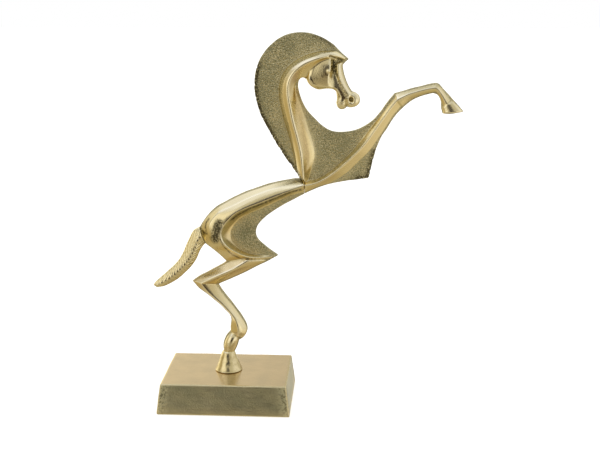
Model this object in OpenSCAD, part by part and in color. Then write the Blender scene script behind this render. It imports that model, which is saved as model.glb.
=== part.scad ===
// Cast brass rearing horse on a hollow plinth, facing +X, with its middle plane on Y = 0.
// Origin: centre of the plinth's footprint, on the surface that the felt rests on. +Z is up.
// The horse is a flat two-sided figure: each limb has a sharp keel on both faces.

/* [Plinth] */
// Length of the plinth along X at its foot
plinth_l = 85; // [80:0.5:100]
// Depth of the plinth along Y at its foot
plinth_d = 62; // [56:0.5:80]
// Height of the plinth's top face
plinth_h = 20; // [20:0.5:24]
// How far each side leans in from foot to top
plinth_lean = 2.4; // [1:0.1:4]
// Thickness of the plinth's side walls
wall_t = 4; // [3:0.5:6]
// Thickness of the plinth's top
top_t = 5; // [4:0.5:6]
// Radius of the plinth's cast edges
edge_r = 1.2; // [0.6:0.1:1.6]

/* [Underside] */
// Thickness of the felt sheet
felt_t = 1.2; // [0.8:0.1:2]
// Thickness of the backing board that closes the plinth
board_t = 2; // [1.5:0.5:3]
// How far the felt stands below the plinth's rim
felt_proud = 0.2; // [0.1:0.1:0.6]

/* [Fixing] */
// Diameter of the stud that holds the horse down
stud_d = 4; // [3:0.5:4]
// Width across the flats of the nut
nut_flats = 7; // [6:0.5:8]
// Thickness of the nut
nut_t = 3.2; // [2.4:0.1:3.5]
// Diameter of the pin that stops the hoof turning
pin_d = 2; // [1.5:0.5:2.5]
// Diameter of the dowels at the withers
dowel_d = 2; // [1.5:0.5:2]
// Diameter of the dowel at the root of the tail
tail_dowel_d = 2.5; // [2:0.5:3]

/* [Hind hoof] */
// Radius of the hoof where it stands on the plinth
hoof_r = 8.8; // [7:0.1:10]
// Radius of the hoof under the pastern
hoof_top_r = 3.9; // [3.5:0.1:4.5]

/* [Figure] */
// Half thickness of the mane and chest plates
plate_half = 1.4; // [1:0.1:2]
// Half thickness of the recessed flank plate
flank_half = 1.3; // [1:0.1:2]

/* [Hidden] */

// Clearance between a pin and its hole, on the diameter
fit = 0.1;
// Overlap that keeps cuts clean
eps = 0.01;
// Curve steps between two stations of a limb, and between two points of an outline
limb_steps = 3;
outline_steps = 4;
round_fn = 48;

rim_z = felt_proud;
ceiling_z = plinth_h - top_t;
boss_r = 7;
boss_z = ceiling_z - 3.5;
rebate = 1.5;
board_z = felt_t;
board_top_z = felt_t + board_t;
sheet_gap = 0.2;

leg_x = 0.5;
hoof_h = 13;
hoof_lip = 0.8;
hoof_top_z = plinth_h + hoof_h;
washer_r = 4.5;
washer_t = 0.8;
lock_r = 3.8;
lock_t = 0.9;
lock_slot = 1;
washer_z = boss_z - washer_t;
lock_z = washer_z - lock_t;
nut_z = lock_z - nut_t;
stud_foot_z = nut_z - 1.2;
stud_top_z = hoof_top_z + 5.5;
pin_x = leg_x + 5.6;
pin_foot_z = plinth_h - 3;
pin_top_z = plinth_h + 3;

// The figure's two glued and pinned seams: the withers, and the root of the tail
seam_x = 50;
seam_top_z = 148;
dowel_z = [142.1, 144.9];
dowel_from = seam_x - 5;
dowel_to = seam_x + 4;
tail_seam = [-14.9, 110.6];
tail_seam_lean = 16.7;
tail_dowel_half = 4.5;

brass = "#c8b070";
satin_brass = "#a4965f";
plinth_brass = "#9a8f63";
steel = "#b9bcc0";
board_brown = "#6b5236";
felt_green = "#24382c";

// Every station of a limb runs across it, from edge to edge, over the keel.
// Each of its points is [x, z, half thickness].
NECK = [
    [[76.0, 222.7, 1.0], [75.6, 222.0, 1.3], [75.0, 221.2, 1.0]],
    [[69.5, 226.9, 1.2], [69.0, 224.4, 4.5], [68.5, 220.5, 1.2]],
    [[61.5, 227.0, 1.2], [61.5, 223.8, 6.0], [61.0, 218.0, 1.2]],
    [[53.5, 225.2, 1.2], [55.0, 221.8, 6.5], [58.0, 214.5, 1.2]],
    [[46.5, 222.2, 1.2], [49.2, 218.8, 6.5], [54.0, 212.5, 1.2]],
    [[40.0, 217.2, 1.2], [44.4, 214.2, 6.4], [49.0, 211.0, 1.0]],
    [[35.9, 210.5, 1.2], [41.6, 208.5, 6.2], [46.4, 208.8, 1.0]],
    [[34.7, 203.0, 1.2], [41.0, 202.4, 6.0], [46.1, 203.0, 1.0]],
    [[35.6, 194.5, 1.2], [42.1, 194.5, 6.0], [48.8, 195.0, 1.0]],
    [[37.9, 184.5, 1.2], [44.1, 184.2, 6.0], [52.0, 185.5, 1.0]],
    [[40.8, 174.9, 1.2], [46.6, 174.3, 6.0], [54.8, 174.5, 1.0]],
    [[43.4, 164.5, 1.2], [48.5, 164.5, 6.0], [56.0, 164.0, 1.0]],
    [[45.3, 154.5, 1.2], [49.6, 154.5, 6.0], [54.6, 154.0, 1.0]],
    [[46.8, 147.5, 1.2], [50.2, 146.5, 6.0], [53.0, 147.0, 1.0]]
];
SHOULDER = [
    [[48.5, 147.8, 1.2], [50.0, 144.2, 6.0], [50.0, 138.4, 1.2]],
    [[57.5, 148.8, 1.2], [57.5, 145.9, 6.0], [58.0, 142.3, 1.2]],
    [[66.0, 153.5, 1.2], [66.0, 150.8, 6.0], [67.0, 145.4, 1.2]],
    [[73.2, 159.8, 1.2], [73.8, 157.3, 6.0], [75.8, 150.6, 1.2]],
    [[79.8, 167.2, 1.2], [81.0, 164.0, 6.0], [84.0, 158.4, 1.2]],
    [[85.6, 175.4, 1.2], [87.5, 171.0, 5.8], [91.4, 166.2, 1.2]],
    [[92.0, 184.4, 1.0], [93.0, 178.8, 5.5], [97.2, 174.2, 1.0]],
    [[97.2, 190.2, 1.0], [98.6, 187.0, 5.0], [101.8, 181.4, 1.0]],
    [[101.4, 196.2, 1.0], [102.8, 193.0, 4.7], [105.6, 187.6, 1.0]],
    [[105.6, 201.6, 1.0], [106.6, 197.8, 4.5], [110.4, 192.9, 1.0]]
];
FOREARM = [
    [[105.6, 201.6, 1.0], [106.6, 197.8, 4.5], [110.4, 192.9, 1.0]],
    [[113.0, 203.7, 1.0], [113.4, 201.2, 4.0], [115.8, 197.5, 1.0]],
    [[121.0, 205.8, 1.0], [121.4, 203.6, 3.6], [122.6, 200.4, 1.0]],
    [[127.5, 207.3, 1.0], [127.6, 204.9, 3.4], [128.8, 202.0, 1.0]],
    [[131.9, 207.6, 1.0], [130.9, 204.7, 3.4], [131.0, 201.4, 1.0]],
    [[136.8, 202.2, 1.0], [134.4, 200.4, 3.3], [133.2, 197.8, 1.0]],
    [[141.4, 196.9, 1.0], [137.8, 194.9, 3.2], [134.2, 192.9, 1.0]]
];
FORE_HOOF = [
    [[141.4, 197.2, 0.8], [139.6, 196.3, 2.5], [137.8, 195.2, 3.2], [136.0, 194.2, 2.5], [134.2, 193.1, 0.8]],
    [[144.4, 194.0, 0.8], [142.0, 193.4, 3.0], [139.5, 192.7, 3.9], [137.1, 192.0, 3.0], [134.7, 191.3, 0.8]],
    [[147.3, 191.1, 0.8], [144.2, 190.8, 3.4], [141.2, 190.5, 4.5], [138.1, 190.2, 3.4], [135.1, 189.9, 0.8]],
    [[146.6, 190.5, 0.8], [143.9, 190.1, 3.1], [141.0, 189.7, 4.1], [138.2, 189.4, 3.1], [135.5, 189.2, 0.8]]
];
HEAD = [
    [[72.0, 222.6, 1.2], [70.0, 222.4, 3.4], [62.0, 221.6, 7.0], [54.0, 218.6, 2.0]],
    [[73.4, 217.8, 1.2], [71.4, 217.6, 4.4], [62.0, 215.6, 8.2], [52.5, 214.0, 2.4]],
    [[74.5, 211.8, 1.2], [72.6, 211.2, 4.4], [63.0, 210.2, 7.8], [52.2, 209.4, 2.0]],
    [[76.5, 206.6, 1.2], [74.6, 205.8, 4.2], [67.0, 206.0, 6.0], [56.5, 204.9, 1.4]],
    [[78.6, 202.8, 1.2], [76.8, 202.0, 3.8], [73.2, 202.4, 4.0], [68.6, 203.4, 1.2]],
    [[81.6, 201.4, 1.2], [79.4, 199.6, 4.8], [74.6, 198.6, 4.2], [70.0, 198.0, 1.2]],
    [[83.9, 197.6, 1.2], [81.0, 196.8, 4.9], [75.6, 195.6, 4.0], [70.2, 194.4, 1.2]],
    [[81.8, 193.8, 1.2], [80.2, 194.2, 3.4], [75.6, 193.2, 3.0], [72.4, 191.8, 1.2]]
];
BACK = [
    [[50.0, 148.0, 1.2], [50.0, 146.2, 3.6], [50.0, 142.8, 5.6], [50.0, 138.2, 1.2]],
    [[41.0, 147.1, 1.2], [41.0, 144.8, 4.4], [41.4, 141.0, 6.8], [42.0, 136.6, 1.2]],
    [[31.5, 145.3, 1.2], [31.5, 142.4, 5.0], [32.0, 137.3, 7.5], [33.5, 132.6, 1.2]],
    [[22.1, 142.3, 1.2], [22.3, 139.1, 5.5], [23.2, 133.7, 8.0], [25.0, 128.4, 1.2]],
    [[12.6, 138.8, 1.2], [13.0, 135.2, 5.7], [14.6, 130.3, 8.3], [17.0, 125.0, 1.2]],
    [[3.4, 134.3, 1.2], [5.0, 131.2, 5.8], [7.5, 126.8, 8.5], [10.7, 121.8, 1.2]],
    [[-5.2, 129.2, 1.2], [-3.6, 126.6, 5.9], [2.6, 122.2, 8.6], [7.0, 118.0, 1.2]],
    [[-11.0, 124.0, 1.2], [-8.4, 121.4, 6.0], [-0.6, 118.0, 8.6], [4.8, 114.6, 1.2]],
    [[-15.0, 118.3, 1.2], [-10.2, 117.0, 6.0], [-2.2, 113.6, 8.5], [4.2, 111.2, 1.2]],
    [[-15.6, 113.0, 1.2], [-9.4, 112.0, 6.2], [-1.6, 109.6, 8.3], [5.0, 107.4, 1.2]],
    [[-13.4, 105.8, 1.2], [-5.0, 108.0, 6.6], [1.0, 105.8, 8.0], [7.2, 104.2, 1.2]],
    [[-6.4, 100.2, 1.2], [1.8, 103.6, 6.8], [5.2, 102.4, 7.4], [10.6, 101.2, 1.2]],
    [[0.8, 93.8, 1.2], [8.6, 99.6, 5.8], [11.7, 98.9, 6.2], [15.6, 99.3, 1.2]],
    [[12.5, 93.0, 1.2], [16.0, 96.8, 4.2], [17.8, 97.4, 4.2], [21.0, 98.6, 1.2]],
    [[23.0, 94.6, 1.2], [24.8, 96.4, 2.4], [25.6, 97.4, 2.4], [27.0, 98.9, 1.2]],
    [[31.6, 97.4, 1.0], [32.2, 97.8, 1.3], [32.4, 98.1, 1.3], [32.7, 98.5, 1.0]]
];
GASKIN = [
    [[5.0, 96.8, 1.2], [16.0, 95.6, 4.6], [27.0, 94.9, 1.0]],
    [[0.8, 93.7, 1.0], [9.4, 92.0, 5.0], [17.1, 89.6, 1.0]],
    [[-3.1, 91.3, 1.0], [3.6, 88.8, 5.0], [10.4, 86.0, 1.0]],
    [[-11.4, 86.5, 1.0], [-5.4, 84.4, 4.8], [1.8, 82.0, 1.0]],
    [[-21.9, 80.3, 1.0], [-15.5, 79.3, 4.6], [-5.7, 78.4, 1.0]]
];
HIND_CANNON = [
    [[-21.9, 80.3, 1.0], [-15.5, 79.3, 4.6], [-5.7, 78.4, 1.0]],
    [[-17.7, 75.6, 1.0], [-11.6, 75.6, 4.5], [-3.1, 74.3, 1.0]],
    [[-12.4, 71.4, 1.0], [-7.0, 71.3, 4.4], [0.4, 69.5, 1.0]],
    [[-6.6, 66.7, 1.0], [-1.8, 66.8, 4.4], [4.0, 64.9, 1.0]],
    [[-1.2, 61.4, 1.0], [3.4, 61.2, 4.4], [8.4, 58.6, 1.0]],
    [[2.6, 56.4, 1.0], [7.4, 55.2, 4.5], [11.7, 52.9, 1.2]],
    [[2.4, 51.0, 1.4], [8.8, 50.4, 4.6], [12.9, 48.4, 1.6]],
    [[2.8, 46.6, 2.0], [8.6, 46.4, 4.2], [12.0, 45.0, 1.8]],
    [[4.6, 43.2, 2.0], [7.2, 43.2, 3.2], [9.6, 42.4, 1.6]]
];
TAIL = [
    [[-16.5, 116.0, 1.6], [-15.2, 111.0, 4.0], [-13.3, 105.3, 1.6]],
    [[-20.4, 113.6, 1.4], [-17.8, 107.6, 4.0], [-14.8, 103.9, 1.4]],
    [[-24.2, 106.6, 1.2], [-19.8, 102.0, 3.8], [-17.1, 100.4, 1.2]],
    [[-28.0, 98.0, 1.2], [-23.6, 95.4, 3.6], [-19.9, 94.2, 1.2]],
    [[-32.6, 91.4, 1.2], [-28.8, 89.0, 3.3], [-24.6, 88.0, 1.2]],
    [[-39.4, 85.0, 1.1], [-36.2, 82.4, 2.9], [-32.2, 81.1, 1.1]],
    [[-45.6, 79.4, 1.0], [-43.4, 77.8, 2.2], [-40.2, 76.5, 1.0]],
    [[-47.5, 76.9, 0.8], [-46.8, 76.2, 1.3], [-45.7, 75.4, 0.8]]
];

// Outlines in X and Z, each of smooth runs that meet at corners
MANE_EDGE = [
    [70.0, 228.4], [67.6, 230.6], [61.8, 234.3], [55.1, 236.9], [47.8, 238.0], [39.9, 236.9],
    [32.6, 233.3], [25.8, 226.6], [21.4, 218.8], [19.3, 209.5], [19.7, 199.8], [22.4, 189.3],
    [26.7, 180.6], [32.2, 170.7], [37.8, 161.9], [42.2, 155.6], [46.0, 150.0]
];
MANE_INSIDE = [
    [50.2, 149.0], [48.5, 164.5], [44.1, 184.2], [41.0, 202.4], [46.0, 216.0],
    [60.0, 223.5], [76.0, 222.3]
];
THROAT_EDGE = [
    [47.0, 199.6], [51.3, 190.9], [56.7, 184.8], [61.5, 180.6], [66.8, 177.8],
    [73.3, 177.1], [80.7, 178.2], [87.4, 181.1], [93.2, 185.6]
];
CHEST_FRONT = [[98.0, 180.0], [96.4, 173.0], [94.2, 166.6], [92.0, 157.4], [90.0, 148.9]];
CHEST_FOOT = [
    [79.8, 147.4], [72.3, 146.2], [64.5, 144.6], [57.3, 142.1], [50.3, 138.4],
    [48.0, 146.0], [43.5, 190.0]
];
BELLY_EDGE = [
    [49.0, 137.9], [42.8, 134.6], [35.5, 130.7], [27.2, 125.0], [21.1, 119.0],
    [19.0, 113.7], [20.1, 109.0], [24.8, 104.2], [32.7, 98.3]
];
FLANK_INSIDE = [
    [20.0, 95.5], [9.0, 98.0], [1.0, 104.0], [-2.0, 113.0], [2.0, 122.0],
    [14.0, 131.5], [32.0, 139.0], [49.0, 142.5]
];

// Point at fraction t between b and c of the smooth curve through a, b, c and d
function between(a, b, c, d, t) =
    0.5 * (2 * b + (c - a) * t + (2 * a - 5 * b + 4 * c - d) * t * t + (3 * b - a - 3 * c + d) * t * t * t);

// The same points with a number of steps of a smooth curve between each two
function smooth(points, steps) = [
    for (i = [0 : len(points) - 2])
        for (k = [0 : steps - 1])
            between(
                points[max(i - 1, 0)], points[i], points[i + 1],
                points[min(i + 2, len(points) - 1)], k / steps
            ),
    points[len(points) - 1]
];

// One ring of a limb: the station's points on the front face, then on the back face
function ring(station) = concat(
    [for (p = station) [p[0], -p[2], p[1]]],
    [for (p = station) [p[0], p[2], p[1]]]
);

// A limb: each stretch between two rings is convex
module limb(stations, steps = limb_steps) {
    rings = [for (s = smooth(stations, steps)) ring(s)];
    for (i = [0 : len(rings) - 2]) {
        points = concat(rings[i], rings[i + 1]);
        hull() polyhedron(points = points, faces = [[for (k = [0 : len(points) - 1]) k]]);
    }
}

// A plate on the middle plane
module plate(outline, half) {
    rotate([90, 0, 0])
        translate([0, 0, -half])
            linear_extrude(height = 2 * half)
                polygon(outline);
}

// A straight round hole or pin from one point of the middle plane to another
module rod(from, to, d, fn = round_fn) {
    run = to - from;
    translate([from[0], 0, from[1]])
        rotate([0, atan2(run[0], run[1]), 0])
            cylinder(d = d, h = norm(run), $fn = fn);
}

// Everything behind and below the seam at the withers
module behind_withers() {
    translate([seam_x - 100, -20, seam_top_z - 100])
        cube([100, 40, 100]);
}

// Everything on the tail's side of the seam at its root, down to a depth below it
module tail_side(depth) {
    translate([tail_seam[0], 0, tail_seam[1]])
        rotate([0, -tail_seam_lean, 0])
            translate([-60, -20, -depth])
                cube([60, 40, depth + 12]);
}

module withers_holes() {
    for (z = dowel_z)
        rod([dowel_from - fit, z], [dowel_to + fit, z], dowel_d + fit);
}

module tail_rod(half, d) {
    run = half * [cos(tail_seam_lean), sin(tail_seam_lean)];
    rod(tail_seam - run, tail_seam + run, d);
}

module pastern_bead() {
    hull() {
        translate([leg_x + 0.5, 0, hoof_top_z]) cylinder(r = 3.4, h = 0.5, $fn = 32);
        translate([1.4, 0, hoof_top_z + 4.2]) sphere(r = 4.1, $fn = 32);
        translate([2.6, 0, hoof_top_z + 7.0]) sphere(r = 4.2, $fn = 32);
        translate([4.2, 0, hoof_top_z + 9.8]) sphere(r = 3.0, $fn = 32);
    }
}

// A block with the plinth's leaning sides, from z = low to z = high, smaller all round by inset
module leaning_block(low, high, inset, r) {
    lean_at = function(z) plinth_lean * z / plinth_h;
    hull()
        for (z = [low + r, high - r])
            for (sx = [-1, 1])
                for (sy = [-1, 1])
                    translate([
                        sx * (plinth_l / 2 - lean_at(z) - inset - r),
                        sy * (plinth_d / 2 - lean_at(z) - inset - r),
                        z
                    ])
                        sphere(r = r, $fn = 24);
}

module plinth() {
    color(plinth_brass)
        difference() {
            intersection() {
                leaning_block(rim_z - edge_r / 2, plinth_h, 0, edge_r);
                translate([-plinth_l, -plinth_d, rim_z])
                    cube([2 * plinth_l, 2 * plinth_d, plinth_h]);
            }
            difference() {
                leaning_block(-edge_r, ceiling_z, wall_t, edge_r);
                translate([leg_x, 0, boss_z])
                    cylinder(r = boss_r, h = top_t + 5, $fn = round_fn);
            }
            translate([0, 0, (rim_z + board_top_z) / 2])
                cube([
                    plinth_l - 2 * wall_t + 2 * rebate,
                    plinth_d - 2 * wall_t + 2 * rebate,
                    board_top_z - rim_z + eps
                ], center = true);
            translate([leg_x, 0, boss_z - 1])
                cylinder(d = stud_d + fit, h = plinth_h, $fn = round_fn);
            translate([pin_x, 0, pin_foot_z - fit])
                cylinder(d = pin_d + fit, h = 10, $fn = round_fn);
        }
}

module hind_hoof() {
    color(brass)
        difference() {
            translate([leg_x, 0, plinth_h])
                rotate_extrude($fn = 96)
                    polygon([
                        [0, 0], [hoof_r - 0.4, 0], [hoof_r, hoof_lip / 2], [hoof_r - 0.3, hoof_lip],
                        [hoof_r - 2.4, 5.4], [hoof_top_r + 0.4, 11.8], [hoof_top_r, 12.6],
                        [hoof_top_r - 0.4, hoof_h], [0, hoof_h]
                    ]);
            translate([leg_x, 0, plinth_h - 1])
                cylinder(d = stud_d + fit, h = hoof_h + 2, $fn = round_fn);
            translate([pin_x, 0, plinth_h - 1])
                cylinder(d = pin_d + fit, h = 1 + pin_top_z - plinth_h + fit, $fn = round_fn);
        }
}

module hindquarters_casting() {
    color(brass)
        difference() {
            union() {
                limb(BACK);
                limb(GASKIN);
                limb(HIND_CANNON);
                plate(concat(smooth(BELLY_EDGE, outline_steps), FLANK_INSIDE), flank_half);
                pastern_bead();
            }
            tail_side(12);
            withers_holes();
            tail_rod(tail_dowel_half + fit, tail_dowel_d + fit);
            translate([leg_x, 0, 0]) cylinder(d = stud_d + fit, h = stud_top_z + fit, $fn = round_fn);
        }
}

module forehand_casting() {
    color(brass)
        difference() {
            union() {
                plate(concat(smooth(MANE_EDGE, outline_steps), MANE_INSIDE), plate_half);
                plate(
                    concat(
                        smooth(THROAT_EDGE, outline_steps),
                        smooth(CHEST_FRONT, outline_steps),
                        CHEST_FOOT
                    ),
                    plate_half
                );
                limb(NECK);
                limb(SHOULDER);
                limb(FOREARM);
                limb(FORE_HOOF, 1);
                limb(HEAD);
            }
            behind_withers();
            withers_holes();
        }
}

module tail_casting() {
    color(satin_brass)
        difference() {
            intersection() {
                limb(TAIL);
                tail_side(60);
            }
            tail_rod(tail_dowel_half + fit, tail_dowel_d + fit);
        }
}

module withers_dowels() {
    color(brass)
        for (z = dowel_z)
            rod([dowel_from, z], [dowel_to, z], dowel_d);
}

module tail_dowel() {
    color(brass) tail_rod(tail_dowel_half, tail_dowel_d);
}

module mounting_stud() {
    color(steel)
        translate([leg_x, 0, stud_foot_z])
            cylinder(d = stud_d, h = stud_top_z - stud_foot_z, $fn = round_fn);
}

module locating_pin() {
    color(steel)
        translate([pin_x, 0, pin_foot_z])
            cylinder(d = pin_d, h = pin_top_z - pin_foot_z, $fn = round_fn);
}

module washer(z, r, t) {
    translate([leg_x, 0, z])
        difference() {
            cylinder(r = r, h = t, $fn = round_fn);
            translate([0, 0, -1]) cylinder(d = stud_d + 2 * fit, h = t + 2, $fn = round_fn);
        }
}

module flat_washer() {
    color(steel) washer(washer_z, washer_r, washer_t);
}

module lock_washer() {
    color(steel)
        difference() {
            washer(lock_z, lock_r, lock_t);
            translate([leg_x, -lock_slot / 2, lock_z - 1]) cube([lock_r + 1, lock_slot, lock_t + 2]);
        }
}

module hex_nut() {
    color(steel)
        translate([leg_x, 0, nut_z])
            difference() {
                cylinder(d = nut_flats / cos(30), h = nut_t, $fn = 6);
                translate([0, 0, -1]) cylinder(d = stud_d + fit, h = nut_t + 2, $fn = round_fn);
            }
}

module sheet(z, t) {
    translate([0, 0, z + t / 2])
        cube([
            plinth_l - 2 * wall_t + 2 * rebate - 2 * sheet_gap,
            plinth_d - 2 * wall_t + 2 * rebate - 2 * sheet_gap,
            t
        ], center = true);
}

module backing_board() {
    color(board_brown) sheet(board_z, board_t);
}

module felt_sheet() {
    color(felt_green) sheet(0, felt_t);
}

plinth();
hind_hoof();
hindquarters_casting();
forehand_casting();
tail_casting();
withers_dowels();
tail_dowel();
mounting_stud();
locating_pin();
flat_washer();
lock_washer();
hex_nut();
backing_board();
felt_sheet();
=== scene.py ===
"""A cast brass horse rearing on one hind leg, on a satin brass plinth.

The horse is a relief with two like faces. Each casting is described by its outline in X and Z and by how
thick it is there: thin plates, with keeled limbs blended into them. Its skin is then wrapped round that
solid in one fine mesh. Outlines and stations are in millimetres, in the part's own frame, and each
casting is fitted to the box of the CAD node that it stands for.
"""

import math
from functools import partialmethod

import bpy
import numpy as np
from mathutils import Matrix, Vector

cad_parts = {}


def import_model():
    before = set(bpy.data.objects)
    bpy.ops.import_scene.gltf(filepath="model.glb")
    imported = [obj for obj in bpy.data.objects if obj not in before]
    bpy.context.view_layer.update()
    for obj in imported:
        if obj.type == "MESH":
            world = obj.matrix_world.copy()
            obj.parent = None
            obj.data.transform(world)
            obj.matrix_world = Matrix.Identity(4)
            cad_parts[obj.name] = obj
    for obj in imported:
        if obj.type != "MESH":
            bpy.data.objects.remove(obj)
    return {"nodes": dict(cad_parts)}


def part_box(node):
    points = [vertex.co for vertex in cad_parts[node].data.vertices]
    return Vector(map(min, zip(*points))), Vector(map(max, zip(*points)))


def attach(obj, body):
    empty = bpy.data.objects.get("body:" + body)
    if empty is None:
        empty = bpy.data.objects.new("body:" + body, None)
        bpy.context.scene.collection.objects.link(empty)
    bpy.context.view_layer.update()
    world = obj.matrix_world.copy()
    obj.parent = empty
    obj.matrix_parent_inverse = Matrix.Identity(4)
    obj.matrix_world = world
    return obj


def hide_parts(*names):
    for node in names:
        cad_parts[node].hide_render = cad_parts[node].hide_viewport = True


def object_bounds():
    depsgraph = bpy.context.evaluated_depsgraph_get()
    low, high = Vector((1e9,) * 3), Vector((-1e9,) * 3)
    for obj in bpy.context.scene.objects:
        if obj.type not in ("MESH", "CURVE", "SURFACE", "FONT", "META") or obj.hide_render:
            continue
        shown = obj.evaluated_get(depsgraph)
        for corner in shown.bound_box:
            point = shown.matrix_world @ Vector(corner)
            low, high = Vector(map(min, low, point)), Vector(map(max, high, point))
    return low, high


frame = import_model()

CAD_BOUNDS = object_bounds()
MM = 0.001
RANDOM = np.random.default_rng(7)
MESH_STEP = 0.4
FINE = MESH_STEP / 2

# ---------------------------------------------------------------- sizes, in mm

# Half thicknesses: the mane and chest, the flank, what lies under everything, and the least anywhere.
PLATE = 1.4
FLANK = 1.3
BARE = 1.05
THINNEST = 0.8
# The radius of a plate's edges, how far a casting's skin stands out of its outline, and a grid's margin.
EDGE_ROUND = 0.8
GROWTH = 0.3
MARGIN = 2.5
FAR_BELOW = -20.0
# What a hole has more than its pin, on the radius.
CLEARANCE = 0.05

WITHERS_X = 50.0
WITHERS_Z = 148.0
WITHERS_SEAM = [(50, 134), (50, 150)]
TAIL_SEAM = (-14.9, 110.6)
TAIL_SEAM_LEAN = math.radians(16.7)
TAIL_SEAM_REACH = 14
PASTERN_Z = 33.0
HAIR_PERIOD = 2.2

PLINTH_LEAN = 2.4
PLINTH_TOP = 5.0
PLINTH_WALL = 4.0
PLINTH_EDGE = 0.9
BOSS_RADIUS = 7
RECESS_GAP = 0.1

FELT_CORNER = 2.2
FELT_EDGE = 0.45
FELT_POINTS = 1.2

# ---------------------------------------------------------------- colours and light

BRASS = (0.90, 0.79, 0.48)
DULL_BRASS = (0.68, 0.63, 0.39)
# The plates' colour far from the limbs: an unbuffed tone that is also painted shade, darker towards their
# edges.
UNBUFFED_SHADED_BRASS = (0.35, 0.34, 0.20)
# A painted brown reflection of warm surroundings, laid on the limbs and flanks.
PAINTED_BROWN_REFLECTION = (0.76, 0.58, 0.27)
# A pale gold for ridges: partly polish, partly a painted highlight.
POLISH_AND_HIGHLIGHT = (1.0, 0.93, 0.68)
HOOF_STAIN = (0.48, 0.38, 0.17)
# Dark dirt for pits and creases, also used as painted shade in hollows, gaps and dark reflections.
DIRT_AND_SHADE = (0.06, 0.05, 0.022)
PLINTH_TOP_A = (0.66, 0.53, 0.33)
PLINTH_TOP_B = (0.57, 0.47, 0.30)
PLINTH_SIDE_A = (0.70, 0.66, 0.44)
PLINTH_SIDE_B = (0.57, 0.56, 0.37)
ZINC = (0.66, 0.67, 0.69)
ZINC_STAIN = (0.48, 0.50, 0.52)
PIN_BRASS = (0.78, 0.64, 0.36)
PIN_STAIN = (0.55, 0.42, 0.20)
BOARD = (0.36, 0.25, 0.15)
BOARD_FIBRE = (0.20, 0.13, 0.07)
FELT = (0.06, 0.13, 0.09)
FELT_FIBRE = (0.12, 0.22, 0.16)
WHITE = (1, 1, 1)
FLOOR_BOUNCE = (0.6, 0.58, 0.52)
FLOOR_LIFT = 0.55
FLOOR_REACH = 6

# The sky's colour at each height, from -1 straight below to 1 straight above.
SKY = [
    (-1.0, (0.50, 0.42, 0.24)), (-0.6, (0.52, 0.45, 0.32)), (0.0, (0.58, 0.54, 0.44)),
    (0.5, (0.56, 0.53, 0.45)), (1.0, (0.60, 0.60, 0.58)),
]
# Each light is its bearing and height in degrees, its inner and outer angle, and its colour. Bearing 0 is in
# front of the horse's near side, where the camera is. A colour under 0 darkens the sky there.
GLOWS = [
    ((-95, 54), (12, 22), (0.28, 0.31, 0.47)),
    ((-50, 54), (12, 22), (0.32, 0.35, 0.51)),
    ((-15, 68), (6, 20), (0.10, 0.12, 0.18)),
    ((84, 12), (6, 46), (0.24, 0.25, 0.31)),
    ((-48, 12), (10, 28), (0.46, 0.44, 0.42)),
    ((42, -12), (8, 24), (0.42, 0.42, 0.42)),
    ((70, -35), (8, 26), (0.22, 0.20, 0.16)),
    ((0, 4), (10, 28), (-0.48, -0.45, -0.36)),
    ((-8, -20), (6, 22), (-0.18, -0.17, -0.14)),
    ((-90, -12), (14, 44), (-0.04, -0.09, -0.17)),
    ((118, -45), (10, 36), (-0.10, -0.11, -0.08)),
    ((-140, 4), (16, 50), (0.58, 0.54, 0.44)),
    ((-150, 52), (12, 34), (0.16, 0.17, 0.20)),
    ((135, 45), (12, 34), (0.26, 0.27, 0.30)),
    ((180, -14), (10, 24), (0.30, 0.33, 0.40)),
]

SENSOR_MM = 36
LENS_MM = 60.72
EYE_FROM_MIDDLE = (0.0315, -0.6230, 0.1460)
LOOKS_DOWN = math.radians(13.27)
LOOKS_LEFT = math.radians(3.13)

# ---------------------------------------------------------------- shape of the horse, in mm

# A limb's stations run across it from edge to edge. Each point is x, z and half thickness.
NECK = [
    [(76, 222.7, 1), (75.9, 222.5, 1.1), (75.6, 222, 1.3), (75, 221.2, 1)],
    [(69.5, 226.9, 1.4), (69.4, 226.4, 2.6), (69, 224.2, 5.4), (68.5, 220.5, 1.2)],
    [(61.5, 227, 1.4), (61.5, 226.5, 3.8), (61.5, 223.4, 7.4), (61, 218, 3)],
    [(53.5, 225.2, 1.4), (53.7, 224.7, 3.8), (55, 221.4, 8.1), (58, 214.5, 3.4)],
    [(46.5, 222.2, 1.4), (46.8, 221.8, 3.8), (49.2, 218.6, 8.3), (54, 212.5, 3.2)],
    [(40, 217.2, 1.4), (40.4, 216.9, 3.8), (44.2, 214.2, 8.3), (49, 211, 2.6)],
    [(35.9, 210.5, 1.4), (36.4, 210.3, 3.8), (41.2, 208.6, 8.3), (46.4, 208.8, 1.2)],
    [(34.7, 203, 1.4), (35.2, 203, 3.8), (40.6, 202.4, 8.1), (46.1, 203, 1)],
    [(35.6, 194.5, 1.4), (36.1, 194.5, 3.8), (41.6, 194.5, 8.1), (49.4, 195, 1)],
    [(37.9, 184.5, 1.4), (38.4, 184.6, 3.8), (43.6, 184.2, 8.1), (52.8, 185, 1.2)],
    [(40.8, 174.9, 1.4), (41.3, 175, 3.8), (46.2, 174.3, 7.8), (56, 174.2, 1.2)],
    [(43.4, 164.5, 1.4), (43.9, 164.6, 3.8), (48.3, 164.5, 7.6), (57.8, 163.8, 1.2)],
    [(45.3, 154.5, 1.4), (45.7, 154.6, 3.8), (49.4, 154.5, 7.2), (55.8, 153.8, 1.2)],
    [(46.8, 147.5, 1.4), (47.1, 147.6, 3.8), (50, 146.5, 6.6), (53, 147, 1.2)],
]
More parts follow.
